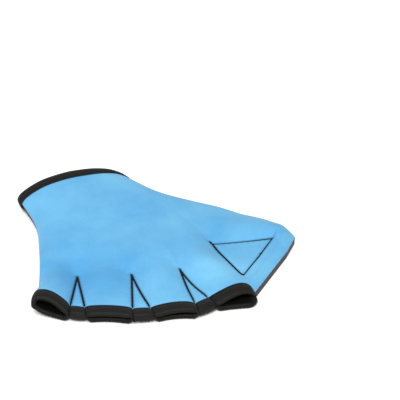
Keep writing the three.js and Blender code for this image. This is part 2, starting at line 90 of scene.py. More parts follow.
# Lines from the hem to the front. Each point is (across, out, along), as shares of the local width,
# of the thumb's reach and of the glove's length. A stem runs to the apex, a leg on to the front.
STEM_AT = (0.0, 0.25, 0.5)
PINKY_SIDE = {
    "apex": 0.75,
    "stem": ((-0.485, 0, 0.479), (-0.385, 0, 0.282), (-0.378, 0, 0.077), (-0.39, 0, -0.144)),
    "feet": ((-0.464, 0, -0.286),),
}
THUMB_SIDE = {
    "apex": 0.8,
    "stem": ((0.515, 0, 0.487), (0.651, 0, 0.328), (0.653, 0.43, 0.159), (0.55, 0.945, 0.01)),
    "feet": ((0.55, 1.03, -0.138),),
}
WEBS = (
    {
        "apex": 0.7,
        "stem": ((-0.249, 0, 0.5), (-0.219, 0, 0.287), (-0.204, 0, 0.072), (-0.203, 0, -0.143)),
        "feet": ((-0.321, 0, -0.359), (-0.247, 0, -0.387)),
    },
    {
        "apex": 0.72,
        "stem": ((0.012, 0, 0.508), (0.03, 0, 0.292), (0.051, 0, 0.062), (0.051, 0, -0.204)),
        "feet": ((-0.051, 0, -0.448), (0.047, 0, -0.465)),
        "bows": (0.0, 0.9),
    },
    {
        "apex": 0.74,
        "stem": ((0.225, 0, 0.505), (0.254, 0, 0.303), (0.28, 0, 0.072), (0.286, 0, -0.232)),
        "feet": ((0.246, 0, -0.492), (0.345, 0, -0.47)),
        "bows": (0.5, 1.8),
    },
)
TRIANGLE = {
    "apex": 0.62,
    "base": 0.87,
    "stem": ((0.379, 0, 0.5), (0.447, 0, 0.318), (0.52, 0, 0.118), (0.568, 0, -0.095)),
    "corners": ((0.554, 0, -0.346), (0.55, 0.72, -0.13)),
    "feet": ((0.545, 0, -0.458), (0.55, 0.78, -0.226)),
    "bows": (1.0, 0.0),
}
# The five pockets: the mouth's height, the top where the seams begin (a share of "tall"), how far the
# middle of each lip is cut back (shares of the length), and the mouth's form: "lean" below 1 moves its
# crest towards the little finger's side, and "leaf" above 1 draws its ends to a point
PINKY = {"mouth": 15.5, "knuckle": 0.76, "tall": HAND_HEIGHT, "back": 0.02, "palm": 0.006,
         "lean": 0.6, "leaf": 1.5}
RING = {"mouth": 9.0, "knuckle": 0.68, "tall": HAND_HEIGHT, "back": 0.004, "palm": 0.012,
        "lean": 1.0, "leaf": 0.7}
MIDDLE = {"mouth": 9.6, "knuckle": 0.74, "tall": HAND_HEIGHT, "back": 0.005, "palm": 0.014,
          "lean": 1.5, "leaf": 0.9}
INDEX = {"mouth": 11.6, "knuckle": 0.76, "tall": HAND_HEIGHT, "back": 0.004, "palm": 0.0,
         "lean": 1.8, "leaf": 1.25}
THUMB = {"mouth": THUMB_HEIGHT, "knuckle": 1.0, "tall": THUMB_HEIGHT, "back": 0.0, "palm": 0.0,
         "lean": 1.0, "leaf": 1.0}
POCKETS = {0: PINKY, 2: RING, 4: MIDDLE, 6: INDEX, 8: THUMB}
WEB_CELLS = (1, 3, 5)
TRIANGLE_CELL = 7
THUMB_CELL = 8
ACROSS = 9
# The strip along the thumb's side: its height as a share of the thumb's, and its crease in mm
STRIP_HEIGHT = 0.88
STRIP_CREASE = 0.9
TRIANGLE_PUFF = 0.8
# How long before its apex each line starts to draw the cloth down, as a share of the way
SEAM_FADES = (0.13,) * 7 + (0.15,) * 3
PALM_FADE = 0.1
# Roundness of the palm's edge along the strip, as a share of the rest's
EDGE_SHARPNESS = 0.22
# Share of the way that the tape covers at the front and at the hem
LIP = 0.04
HEM_LIP = 0.05
# A finger's tape ends this far inside its segment, and is pinched thinner there
TAPE_INSET = 0.015
TAPE_PINCH = 0.5
PINCH_REACH = 0.045
# Over the index's outer corner the tape narrows to a share of its depth
TAPE_TURN = 0.72
TAPE_LEAST = 0.3
PINKY_APEX = 0.72
SIDE_ROUNDING = 0.12
# The tape covers the cloth up to here, fading out between the two, in mm from the edge
TAPE_COVERS = (8.5, 10.5)
APEXES = (PINKY_APEX,) + tuple(web["apex"] for web in WEBS for _ in range(2)) + (TRIANGLE["apex"],) * 3
# Above 1, a pocket's sides run smoothly into the seam beside it
SEAM_SOFTNESS = 2.4
# The little finger's outer corner lifts off the surface, and the palm's lip sticks out under the index
CORNER_LIFT = 4.4
CORNER_RAISE = 2.4
CORNER_REACH = 0.35
CORNER_FROM = 0.84
INDEX_LIP = 5.0
INDEX_LIP_AT = 0.8


def mix(a, b, t):
    return a + (b - a) * t


def clamp(x):
    return min(1.0, max(0.0, x))


def ease(start, end, x):
    t = clamp((x - start) / (end - start))
    return t * t * (3 - 2 * t)


def bump(t):
    return 4 * t * (1 - t)


def hill(x, width):
    return math.exp(-(x / width) ** 2)


def hermite(start, end, leave, arrive, t):
    """Smooth curve from start to end, with its slopes there."""
    t2 = t * t
    t3 = t2 * t
    return ((2 * t3 - 3 * t2 + 1) * start + (t3 - 2 * t2 + t) * leave
            + (3 * t2 - 2 * t3) * end + (t3 - t2) * arrive)


def through(knots, values, x):
    """Smooth curve through a row of values."""
    i = 0
    while i < len(knots) - 2 and x > knots[i + 1]:
        i += 1

    def slope(k):
        before = max(0, k - 1)
        after = min(len(knots) - 1, k + 1)
        return (values[after] - values[before]) / (knots[after] - knots[before])

    span = knots[i + 1] - knots[i]
    t = clamp((x - knots[i]) / span)
    return hermite(values[i], values[i + 1], span * slope(i), span * slope(i + 1), t)


@lru_cache(maxsize=None)
def section(key, v):
    return through(SECTION_AT, SECTIONS[key], v)


def place(point, v):
    width = mix(WRIST_WIDTH, HAND_WIDTH, section("spread", v))
    return Vector((point[0] * width + point[1] * THUMB_REACH, point[2] * GLOVE_LENGTH))


def on_stem(line, v):
    knots = STEM_AT + (line["apex"],)
    points = [place(p, k) for p, k in zip(line["stem"], knots)]
    return Vector((through(knots, [p.x for p in points], v), through(knots, [p.y for p in points], v)))


def on_leg(start_point, foot, start, v):
    zone = 1 - 1.5 * LIP
    length = (foot - start_point).length
    if v >= zone:
        back = BINDING_DEPTH * (1 - v) / LIP
    else:
        back = mix(length, 1.5 * BINDING_DEPTH, (v - start) / (zone - start))
    return foot.lerp(start_point, back / length)


def on_seam(line, foot, v):
    if v <= line["apex"]:
        return on_stem(line, v)
    apex_point = on_stem(line, line["apex"])
    end = place(line["feet"][foot], 1)
    share = (v - line["apex"]) / (1 - line["apex"])
    bow = line["bows"][foot] * bump(share) if "bows" in line else 0
    across = Vector((end.y - apex_point.y, apex_point.x - end.x)).normalized()
    return on_leg(apex_point, end, line["apex"], v) + across * bow


def on_side(line, v):
    """A side's line, with its corner rounded off."""
    low, high = line["apex"] - SIDE_ROUNDING, line["apex"] + SIDE_ROUNDING
    if v <= low or v >= high:
        return on_seam(line, 0, v)
    step = 0.01
    span = high - low
    start, end = on_seam(line, 0, low), on_seam(line, 0, high)
    leave = (start - on_seam(line, 0, low - step)) * (span / step)
    arrive = (on_seam(line, 0, high + step) - end) * (span / step)
    return hermite(start, end, leave, arrive, (v - low) / span)


def on_triangle(side, v):
    apex, base = TRIANGLE["apex"], TRIANGLE["base"]
    if v <= apex:
        return on_stem(TRIANGLE, v)
    corner = place(TRIANGLE["corners"][side], 1)
    if v > base:
        return on_leg(corner, place(TRIANGLE["feet"][side], 1), base, v)
    share = (v - apex) / (base - apex)
    start = on_stem(TRIANGLE, apex)
    across = Vector((corner.y - start.y, start.x - corner.x)).normalized()
    return start.lerp(corner, share) + across * TRIANGLE["bows"][side] * bump(share)


# Broad swells of the back, and hollows below zero: where they lie, how far they reach each way and how
# high they stand, in mm
SWELLS = (
    {"at": (-58, -14), "reach": (30, 18), "amount": -2.4},
    {"at": (-42, 58), "reach": (20, 26), "amount": 1.0},
    {"at": (2, -34), "reach": (20, 14), "amount": 1.2},
    {"at": (26, -48), "reach": (22, 16), "amount": 1.2},
    {"at": (35, 4), "reach": (10, 20), "amount": 2.3},
    {"at": (-8, 12), "reach": (24, 24), "amount": -0.8},
)

# Broad patches of painted light, where the blue is paler, and of painted shade below zero, laid on the back
# to stand for its light and shade: where they lie, how far they reach in mm, and their strength
PAINTED_LIGHT_AND_SHADE = (
    {"at": (-50, -36), "reach": (38, 28), "amount": -1.2},
    {"at": (-34, 2), "reach": (36, 24), "amount": -0.3},
    {"at": (30, -60), "reach": (30, 24), "amount": 0.95},
    {"at": (-30, 82), "reach": (34, 16), "amount": 0.25},
)


@lru_cache(maxsize=None)
def lines_at(v):
    """The ten lines that bound the nine segments across, at one share of the way."""
    seams = [on_seam(web, foot, v) for web in WEBS for foot in (0, 1)]
    return [on_side(PINKY_SIDE, v)] + seams + [on_triangle(0, v), on_triangle(1, v), on_side(THUMB_SIDE, v)]


def cell_of(u):
    return min(ACROSS - 1, int(u))


def at_line(values, u):
    """Value between the values of the two lines beside a place."""
    cell = cell_of(u)
    return mix(values[cell], values[cell + 1], u - cell)


def round_drop(start, t):
    """One up to the start, then down a quarter circle to zero at one."""
    return math.sqrt(1 - clamp((t - start) / (1 - start)) ** 2)


def lip_share(t):
    """Rises slowly to the index's outer corner and drops round it."""
    if t < INDEX_LIP_AT:
        return (t / INDEX_LIP_AT) ** 1.5
    return round_drop(INDEX_LIP_AT, t)


def plan(side, u, v):
    cell = cell_of(u)
    t = u - cell
    lines = lines_at(v)
    point = lines[cell].lerp(lines[cell + 1], t)
    if cell in POCKETS:
        point.y += POCKETS[cell][side] * GLOVE_LENGTH * bump(t) * ease(0.6, 1, v)
    if side == "palm" and POCKETS.get(cell) is INDEX:
        point.y -= INDEX_LIP * lip_share(t) * ease(0.8, 1, v)
    return point


def thickness(u, v):
    corner = 1 - ease(TRIANGLE_CELL - 0.05, TRIANGLE_CELL, u)
    front = ease(1 - 1.6 * LIP, 1 - 1.1 * LIP, v) * corner
    hem = 1 - ease(1.1 * HEM_LIP, 1.8 * HEM_LIP, v)
    return mix(CLOTH_THICKNESS, BOUND_THICKNESS, max(front, hem))


def split_at(v):
    return section("side", v) + GAP / 2


def seam_rise(u, v):
    return max(0.2, WEB_HEIGHT + GAP / 2 + thickness(u, v) - split_at(v)) ** 2


def strip_share(v):
    return clamp((v - TRIANGLE["base"]) / (1 - TRIANGLE["base"]))


def triangle_rise(u, v):
    w = strip_share(v)
    strip = (STRIP_HEIGHT * THUMB_HEIGHT - split_at(v)) ** 2
    return seam_rise(u, v) * (1 - w) + strip * bump(w)


def line_rise(line, v):
    """Rise of a line between two segments, as a square. The glove's two sides have none."""
    if line in (0, ACROSS):
        return 0.0
    return triangle_rise(line, v) if line >= TRIANGLE_CELL else seam_rise(line, v)


def dome_at(pocket, v):
    front = pocket["mouth"] - (0 if pocket is THUMB else TAPE_OVER)
    return mix(pocket["knuckle"] * pocket["tall"], front, ease(0.7, 1 - LIP, v))


def tube_rise(u, v):
    cell = cell_of(u)
    t = u - cell
    if cell in WEB_CELLS:
        return seam_rise(u, v)
    if cell == TRIANGLE_CELL:
        middle = clamp((v - TRIANGLE["apex"]) / (TRIANGLE["base"] - TRIANGLE["apex"]))
        puff = TRIANGLE_PUFF * bump(t) * bump(middle)
        return (math.sqrt(triangle_rise(u, v)) + puff * (1 - strip_share(v))) ** 2
    pocket = POCKETS[cell]
    dome = max(0.0, dome_at(pocket, v) - split_at(v)) ** 2
    mouth = ease(0.72, 1 - LIP, v)
    form = bump(t ** mix(1, pocket["lean"], mouth)) ** mix(SEAM_SOFTNESS, pocket["leaf"], mouth)
    closing = 1 - strip_share(v) ** 2 if pocket is THUMB else 1
    return mix(line_rise(cell, v), line_rise(cell + 1, v), t) + dome * form * closing


def tape_depth(cell, t):
    """The tape turns round the index's outer corner, so it narrows there."""
    return mix(TAPE_LEAST, 1.0, round_drop(TAPE_TURN, t)) if POCKETS.get(cell) is INDEX else 1.0


def arch_rise(u, v):
    lines = lines_at(v)
    here = plan("back", u, v)
    share = clamp((here.x - lines[0].x) / (lines[ACROSS].x - lines[0].x)) ** section("skew", v)
    power = section("full", v)
    arch = max(0.0, 1 - abs(2 * share - 1) ** power) ** (1 / power)
    return ((section("crest", v) - split_at(v)) * arch) ** 2


def back_height(u, v):
    apex = at_line(APEXES, u)
    sewn = ease(apex - at_line(SEAM_FADES, u), apex, v)
    return split_at(v) + math.sqrt(max(0.0, mix(arch_rise(u, v), tube_rise(u, v), sewn)))


def palm_height(u, v):
    here = plan("palm", u, v)
    apex = at_line(APEXES, u)
    fade = ease(apex - PALM_FADE, apex, v)
    seam_lift = WEB_HEIGHT - GAP / 2 - thickness(u, v)

    def near(other):
        return (1 - clamp((here - other).length / SINK_WIDTH)) ** 2

    web_lift = [near(plan("palm", min(cell + 1, max(cell, u)), v)) for cell in WEB_CELLS]
    corner = plan("palm", min(THUMB_CELL, max(TRIANGLE_CELL, u)), min(v, TRIANGLE["base"]))
    lift = max(web_lift + [near(corner)]) * fade * seam_lift
    over_index = ease(TRIANGLE_CELL - 0.05, TRIANGLE_CELL, u)
    tape_room = TAPE_OVER + REST_CLEARANCE
    front = tape_room * ease(1 - 2 * LIP, 1 - LIP, v) * (1 - over_index)
    corner_lift = CORNER_LIFT * ease(CORNER_FROM, 1, v) * (1 - clamp(u)) ** 2
    hem = tape_room * (1 - ease(HEM_LIP, 2 * HEM_LIP, v))
    top = section("side", v) - GAP / 2
    edges = (plan("palm", 0, v), plan("palm", ACROSS, v), plan("palm", max(TRIANGLE_CELL, u), 1))
    sharp = ease(TRIANGLE_CELL, TRIANGLE_CELL + 0.1, u)
    radius = mix(PALM_ROUNDING, top, 0.5) * mix(1, EDGE_SHARPNESS, sharp)
    inset = min((here - edge).length for edge in edges) / radius
    rounding = 1 - math.sqrt(1 - (1 - clamp(inset)) ** 2)
    base = min(top - 0.4, max(lift, front + corner_lift, hem))
    return top * (1 - (1 - base / top) * (1 - rounding))


def skin(side, u, v):
    """Point of the outer skin of the back or the palm, in millimetres."""
    point = plan(side, u, v)
    height = back_height(u, v) if side == "back" else palm_height(u, v)
    height += CORNER_RAISE * ease(CORNER_FROM, 1, v) * (1 - clamp(u / CORNER_REACH)) ** 2
    return Vector((point.x, point.y, height)) + PLAN_ORIGIN


def tangents(side, u, v):
    """Directions across and along the skin, and its outward normal."""
    step_u, step_v = 0.012, 0.004
    across = skin(side, min(ACROSS, u + step_u), v) - skin(side, max(0, u - step_u), v)
    along = skin(side, u, min(1, v + step_v)) - skin(side, u, max(0, v - step_v))
    normal = across.cross(along)
    if side == "back":
        normal.negate()
    if u in (0, ACROSS):
        normal.z = 0
    return across.normalized(), along.normalized(), normal.normalized()


def seam_paths(side, foot_of):
    """The sewn lines on one skin: the legs of the webs, and the three sides of the triangle. foot_of gives
    the point at a place across and along."""
    paths = {}
    steps = 60
    end = 1 - 0.9 * LIP
    for i, web in enumerate(WEBS):
        for foot in (0, 1):
            u = 2 * i + 1 + foot
            rows = [mix(web["apex"] - 0.004, end, k / steps) for k in range(steps + 1)]
            paths[f"web_{i + 1}_{foot + 1}"] = [foot_of(side, u, v) for v in rows]
    rows = [mix(TRIANGLE["apex"], TRIANGLE["base"], k / steps) for k in range(steps + 1)]
    base = TRIANGLE["base"]
    tail = 0.02
    corner = [foot_of(side, TRIANGLE_CELL, v) for v in [TRIANGLE["apex"] - tail / 2] + rows]
    corner += [foot_of(side, TRIANGLE_CELL + (1 + tail) * k / steps, base) for k in range(1, steps + 1)]
    paths["triangle_sides"] = rounded(corner, steps + 1, 5)
    paths["triangle_top"] = [foot_of(side, TRIANGLE_CELL + 1, v) for v in rows]
    return paths


def rounded(path, corner, reach):
    """Rounds a path off over a few points on both sides of its corner."""
    start, middle, end = path[corner - reach], path[corner], path[corner + reach]
    arc = []
    for k in range(1, 2 * reach):
        t = k / (2 * reach)
        arc.append(start.lerp(middle, t).lerp(middle.lerp(end, t), t))
    return path[:corner - reach + 1] + arc + path[corner + reach:]


def walk(path, pitch):
    """Points at even distances along a path."""
    points = [path[0]]
    need = pitch
    for a, b in zip(path, path[1:]):
        length = (b - a).length
        while length > need:
            a = a.lerp(b, need / length)
            points.append(a)
            length = (b - a).length
            need = pitch
        need -= length
    return points


class SeamMap:
    """Finds how far a point is from the nearest sewn line, and how far along that line."""

    def __init__(self, side):
        self.pitch = 0.5
        walked = [walk(path, self.pitch) for path in seam_paths(side, skin).values()]
        self.along = [k * self.pitch for points in walked for k in range(len(points))]
        self.tree = kdtree.KDTree(len(self.along))
        for i, point in enumerate(p for points in walked for p in points):
            self.tree.insert(point, i)
        self.tree.balance()

    def at(self, point):
        _, i, distance = self.tree.find(point)
        return distance, self.along[i]


def number(name, description, default, least=0.0, most=2.0):
    return bpy.props.FloatProperty(
        name=name, description=description, default=default, min=least, max=most)


def hex_colour(name, description, default):
    return bpy.props.StringProperty(name=name, description=description + ", sRGB hex", default=default)


class GloveForm(bpy.types.PropertyGroup):
    seam_depth: number("Seam depth", "Depth of the groove that the seam's thread lies in, in mm", 0.35)
    seam_shoulder: number("Seam shoulder", "How far the foam swells beside a seam, in mm", 0.2)
    pucker: number("Pucker", "Height of the small gathers along seams and tapes, in mm", 0.14)
    ripple: number("Ripple", "Height of the broad unevenness of the cloth, in mm", 0.4)
    tape_puff: number("Tape puff", "How far the middle of the tape stands above its edge, in mm", 0.45)
    web_puff: number("Web puff", "How far the tape bulges over each web, in mm", 0.5)
    seam_stitch: number("Seam stitch", "Pitch of the zigzag stitches along the seams, in mm", 1.5, 0.8, 4)
    tape_stitch: number("Tape stitch", "Pitch of the straight stitches on the tape, in mm", 2.8, 1, 5)
    thread_width: number("Thread width", "Width of a seam's thread as it shows, in mm", 1.05, 0.2)


class GloveColours(bpy.types.PropertyGroup):
    # The jersey's colour varies at random between blue and deep blue; painted light pushes it towards blue
    # and painted shade towards deep blue
    blue: hex_colour("Blue", "Jersey of the back", "#6baed1")
    blue_deep: hex_colour("Deep blue", "Darker tone in the jersey of the back", "#4891c1")
    # Painted shade: the colour the blue turns to in each seam's groove, partly standing for the dark thread
    # there, and in full under the tapes
    seam_shade_blue: hex_colour("Seam blue", "Jersey drawn down into a seam", "#0d2236")
    charcoal: hex_colour("Charcoal", "Jersey of the palm and of the lining", "#0c0b0a")
    tape: hex_colour("Tape", "Binding tape", "#11100e")
    thread: hex_colour("Thread", "Sewing thread", "#040a14")
    floor: hex_colour("Floor", "Studio floor", "#fcfcfc")


class GloveStudio(bpy.types.PropertyGroup):
    key_power: number("Key light", "Power of the large soft light, in watts", 88.0, most=1000)
    world_strength: number("Surround", "Strength of the pale surround", 0.72)
    lens: number("Lens", "Focal length of the camera, in mm", 108.0, 20, 300)


def linear(colour):
    """sRGB hex to linear RGBA."""
    values = [int(colour[i:i + 2], 16) / 255 for i in (1, 3, 5)]
    return tuple(c / 12.92 if c <= 0.04045 else ((c + 0.055) / 1.055) ** 2.4 for c in values) + (1.0,)


def add_node(tree, kind, inputs=None, **settings):
    """Adds a node with its settings. An input is a value, or the socket that feeds it."""
    made = tree.nodes.new(kind)
    for key, value in settings.items():
        setattr(made, key, value)
    for key, value in (inputs or {}).items():
        if isinstance(value, bpy.types.NodeSocket):
            tree.links.new(value, made.inputs[key])
        else:
            made.inputs[key].default_value = value
    return made


WAVE_PERIOD = math.pi / 10  # a Wave texture of scale 1 repeats at this distance, in metres


def new_material(name):
    material = bpy.data.materials.new(name)
    material.use_nodes = True
    tree = material.node_tree
    tree.nodes.clear()
    return material, tree


def finish_material(tree, colour, height, depth, settings):
    """Principled shader with a bump of one height field. Depth in millimetres."""
    relief = add_node(tree, "ShaderNodeBump", {"Height": height, "Strength": 1.0, "Distance": depth * MM})
    shader = add_node(tree, "ShaderNodeBsdfPrincipled",
                      {"Base Color": colour, "Normal": relief.outputs["Normal"], **settings})
    add_node(tree, "ShaderNodeOutputMaterial", {"Surface": shader.outputs["BSDF"]})


def mixed(tree, factor, a, b):
    """Colour between a and b."""
    node = add_node(tree, "ShaderNodeMix", {0: factor, 6: a, 7: b}, data_type="RGBA")
    return node.outputs[2]


def dimmed(colour, share):
    """Linear RGBA of a share of an sRGB hex colour."""
    return tuple(c * share for c in linear(colour)[:3]) + (1.0,)


def maths(tree, operation, *values):
    return add_node(tree, "ShaderNodeMath", dict(enumerate(values)), operation=operation).outputs[0]


def mask(tree, name):
    """Value of a vertex layer."""
    return add_node(tree, "ShaderNodeAttribute", attribute_name=name).outputs["Fac"]


def blotches(tree, coordinates, size, detail):
    """Noise with blotches of this size, in mm."""
    return add_node(tree, "ShaderNodeTexNoise", {
        "Vector": coordinates, "Scale": 1 / (size * MM), "Detail": detail}).outputs["Fac"]


def bands(tree, coordinates, pitch, direction, distortion):
    """Soft bands this far apart, in mm."""
    return add_node(tree, "ShaderNodeTexWave", {
        "Vector": coordinates, "Scale": WAVE_PERIOD / (pitch * MM), "Distortion": distortion, "Detail": 0.0},
        wave_type="BANDS", bands_direction=direction).outputs["Fac"]


def knit_height(tree, coordinates):
    """Jersey knit: columns of loops 1.1 mm apart, each loop 0.9 mm long. The real loops are about a
    third of that, too fine to show."""
    columns = bands(tree, coordinates, 1.1, "X", 0.3)
    loops = bands(tree, coordinates, 0.9, "Y", 0.5)
    fuzz = blotches(tree, coordinates, 0.7, 2.0)
    return maths(tree, "ADD", maths(tree, "MULTIPLY", columns, loops), fuzz)


def jersey_material(name, top, deep, seam, lining):
    """Nylon jersey laminated on neoprene foam: matte, with a soft sheen from its fine loops."""
    material, tree = new_material(name)
    coordinates = add_node(tree, "ShaderNodeTexCoord").outputs["Object"]
    patches = blotches(tree, coordinates, 32, 3.0)
    speckle = blotches(tree, coordinates, 1.6, 1.0)
    dye_and_painted_light = maths(tree, "MULTIPLY_ADD", speckle, 0.25, patches)
    # Painted light and shade: the patches' vertex layer makes the blue paler above zero and deeper below
    # zero, over the random blotches
    dye_and_painted_light = maths(tree, "MULTIPLY_ADD", mask(tree, "painted_light_and_shade"), -0.4, dye_and_painted_light)
    span = add_node(tree, "ShaderNodeMapRange", {"Value": dye_and_painted_light, "From Min": 0.22, "From Max": 1.02})
    colour = mixed(tree, span.outputs[0], linear(top), linear(deep))
    # Painted shade near the seams and under the tapes
    colour = mixed(tree, mask(tree, "seam"), colour, linear(seam))
    colour = mixed(tree, mask(tree, "lining"), colour, linear(lining))
    finish_material(tree, colour, knit_height(tree, coordinates), 0.05, {
        "Roughness": 0.62, "Specular IOR Level": 0.28, "Sheen Weight": 0.03, "Sheen Roughness": 0.45})
    return material


def tape_material(name, colour):
    """Soft nylon binding tape: matte black, knitted, with a little dust and a faint sheen."""
    material, tree = new_material(name)
    coordinates = add_node(tree, "ShaderNodeTexCoord").outputs["Object"]
    dust = blotches(tree, coordinates, 5, 4.0)
    tint = mixed(tree, dust, dimmed(colour, 0.72), linear(colour))
    # Painted shade: the faces inside the tape's fold, towards the hollow, are painted almost black
    tint = mixed(tree, mask(tree, "inner_painted_shade"), tint, dimmed(colour, 0.12))
    finish_material(tree, tint, knit_height(tree, coordinates), 0.07, {
        "Roughness": 0.6, "Specular IOR Level": 0.17, "Sheen Weight": 0.01, "Sheen Roughness": 0.4})
    return material


def thread_material(name, colour):
    """Bonded polyester thread: dark, with the twist of its plies and a slight gloss."""
    material, tree = new_material(name)
    coordinates = add_node(tree, "ShaderNodeTexCoord").outputs["Object"]
    twist = bands(tree, coordinates, 0.4, "DIAGONAL", 0.0)
    tint = mixed(tree, twist, dimmed(colour, 0.6), linear(colour))
    finish_material(tree, tint, twist, 0.05, {"Roughness": 0.6, "Specular IOR Level": 0.15})
    return material


@lru_cache(maxsize=None)
def material_named(name):
    colours = bpy.context.scene.glove_colours
    if name == "blue jersey on neoprene":
        return jersey_material(name, colours.blue, colours.blue_deep, colours.seam_shade_blue, colours.charcoal)
    if name == "charcoal jersey on neoprene":
        # On the palm the painted seam shade takes the thread's colour
        return jersey_material(name, colours.charcoal, colours.charcoal, colours.thread, colours.charcoal)
    if name == "nylon binding tape":
        return tape_material(name, colours.tape)
    return thread_material(name, colours.thread)


def finish_piece(bm, name, material, replaced, sharp=None):
    """Turns a bmesh into a shown piece that rides with the glove."""
    mesh = bpy.data.meshes.new(name)
    bm.to_mesh(mesh)
    bm.free()
    for polygon in mesh.polygons:
        polygon.use_smooth = True
    if sharp:
        mesh.set_sharp_from_angle(angle=math.radians(sharp))
    mesh.materials.append(material_named(material))
    piece = bpy.data.objects.new(name, mesh)
    bpy.context.scene.collection.objects.link(piece)
    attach(piece, BODY)
    if replaced:
        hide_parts(replaced)
    return piece


def crowded(count, share):
    """Steps from 0 to 1 that stand closer together at both ends."""
    return [mix(k / count, 0.5 - 0.5 * math.cos(math.pi * k / count), share) for k in range(count)]


# How many columns of faces each segment across has
COLUMN_COUNTS = (22, 8, 26, 8, 26, 8, 28, 30, 30)
COLUMNS = [cell + t for cell, count in enumerate(COLUMN_COUNTS) for t in crowded(count, 0.6)] + [ACROSS]
ROW_COUNT = 170
ROWS = [k / ROW_COUNT for k in range(ROW_COUNT + 1)]


def spread_over(patches, point):
    """Sum of soft patches at a point."""
    return sum(patch["amount"] * hill((point.x - patch["at"][0]) / patch["reach"][0], 1)
               * hill((point.y - patch["at"][1]) / patch["reach"][1], 1) for patch in patches)


# The cloth's relief, in mm: the sizes of its ripples, and the width of each form or its place and width
RIPPLES = (34, 13)
GROOVE = 1.15
SHOULDER = (4.0, 2.6)
GATHER = (2.2, 1.8)
GATHER_PITCH = 4.4
TAPE_GATHER = (10, 4)
EDGE_ROLL = 0.45
ROLL_WIDTH = 0.8
# Width of the painted shade along a seam, in mm
SHADE = 0.95
FREE_OF_SIDE = 12


def broad_lift(side, u, v, point):
    """Height of the cloth's broad forms over its plain skin, in millimetres."""
    ripple = bpy.context.scene.glove_form.ripple
    lift = ripple * (noise.noise(point / RIPPLES[0]) + 0.35 * noise.noise(point / RIPPLES[1]))
    if side == "back":
        lift += spread_over(SWELLS, point)
        if u > TRIANGLE_CELL:
            lift -= STRIP_CREASE * hill((strip_share(v) - 0.5) / 0.13, 1) * ease(TRIANGLE_CELL, 7.15, u)
    free = ease(*TAPE_COVERS, end_distance(v)) if u <= TRIANGLE_CELL or v < 0.5 else 1.0
    return lift * ease(0, FREE_OF_SIDE, side_distance(side, u, v)) * free


def end_distance(v):
    """Distance to the hem or to the front edge, whichever is nearer, in millimetres."""
    return min(v, 1 - v) * GLOVE_LENGTH


def side_distance(side, u, v):
    """Distance to the glove's nearest sewn edge, in millimetres."""
    here = plan(side, u, v)
    edges = [plan(side, 0, v), plan(side, ACROSS, v)]
    if u > TRIANGLE_CELL:
        edges.append(plan(side, u, 1))
    return min((edge - here).length for edge in edges)


def on_cloth(side, u, v):
    """Point of the cloth with its broad forms."""
    point = skin(side, u, v)
    return point + tangents(side, u, v)[2] * broad_lift(side, u, v, point)


def cloth_relief(side, seams, u, v, point):
    """How far the cloth stands above its plain form, in millimetres, and how much painted shade darkens it,
    in a seam's groove and where the tape covers it."""
    form = bpy.context.scene.glove_form
    distance, along = seams.at(point)
    bound = 1 - ease(TRIANGLE_CELL - 0.05, TRIANGLE_CELL, u) if v > 0.5 else 1
    free = ease(*TAPE_COVERS, end_distance(v)) if bound > 0.5 else 1.0
    groove = -form.seam_depth * hill(distance, GROOVE)
    shoulder = form.seam_shoulder * hill(distance - SHOULDER[0], SHOULDER[1])
    wave = math.sin(along * 2 * math.pi / GATHER_PITCH)
    gather = form.pucker * wave * hill(distance - GATHER[0], GATHER[1])
    unevenness = noise.noise(Vector((point.x / 2.4, point.y / 9, 3.1)))
    tape_gather = form.pucker * unevenness * hill(end_distance(v) - TAPE_GATHER[0], TAPE_GATHER[1]) * bound
    roll = -EDGE_ROLL * hill(side_distance(side, u, v), ROLL_WIDTH)
    lift = (groove + shoulder + gather + tape_gather + roll) * free + broad_lift(side, u, v, point)
    cell = cell_of(u)
    # The cloth under the tape gets full painted shade, so the gaps between tapes read dark
    under_tape = u < TRIANGLE_CELL and 1 - v < 0.93 * LIP * tape_depth(cell, u - cell)
    return lift, 1.0 if under_tape else hill(distance, SHADE) * free


def keep_above_floor(verts):
    for vert in verts:
        vert.co.z = max(vert.co.z, FLOOR_CLEARANCE * MM)


